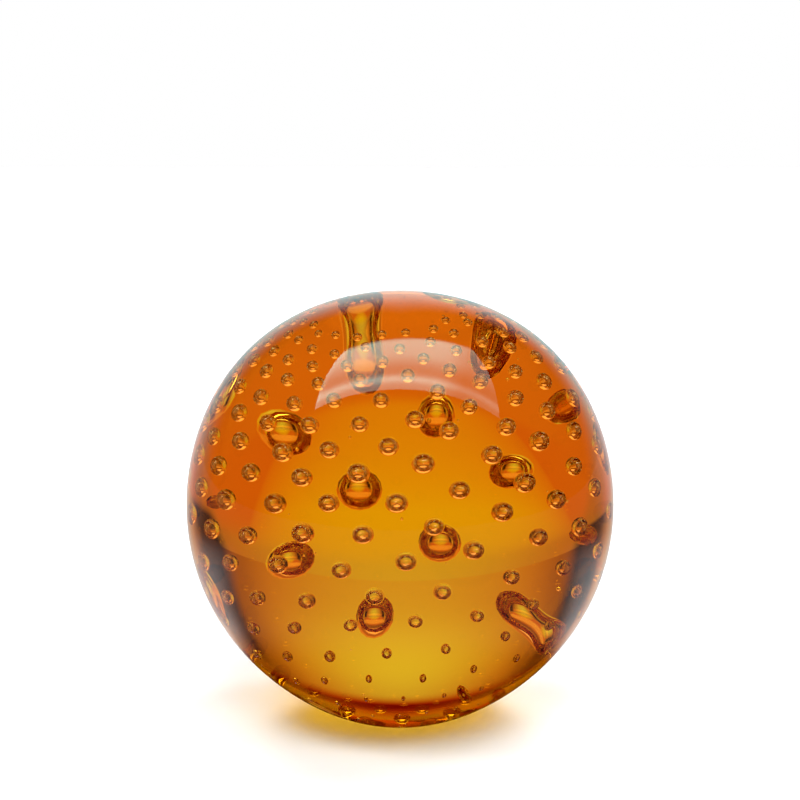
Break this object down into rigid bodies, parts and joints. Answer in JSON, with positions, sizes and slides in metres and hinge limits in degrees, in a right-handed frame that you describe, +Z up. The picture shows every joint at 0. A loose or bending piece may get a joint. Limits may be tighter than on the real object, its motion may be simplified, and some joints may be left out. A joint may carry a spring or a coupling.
{
  "type": "glass paperweight",
  "caption": "Solid amber glass ball with small air bubbles sealed inside it, for holding down papers. It stands on a small ground flat.",
  "frame": {"origin": "centre of the small ground flat underneath, on the ball's upright axis", "axes": "+Z up along the ball's turning axis; the ball is round about it, and the view in the picture looks along +Y"},
  "size_m": [0.08, 0.08, 0.0811],
  "materials": {
    "amber_glass": "fire-polished clear amber glass"
  },
  "bodies": {
    "root": {"glass_ball": "amber_glass"}
  },
  "joints": []
}
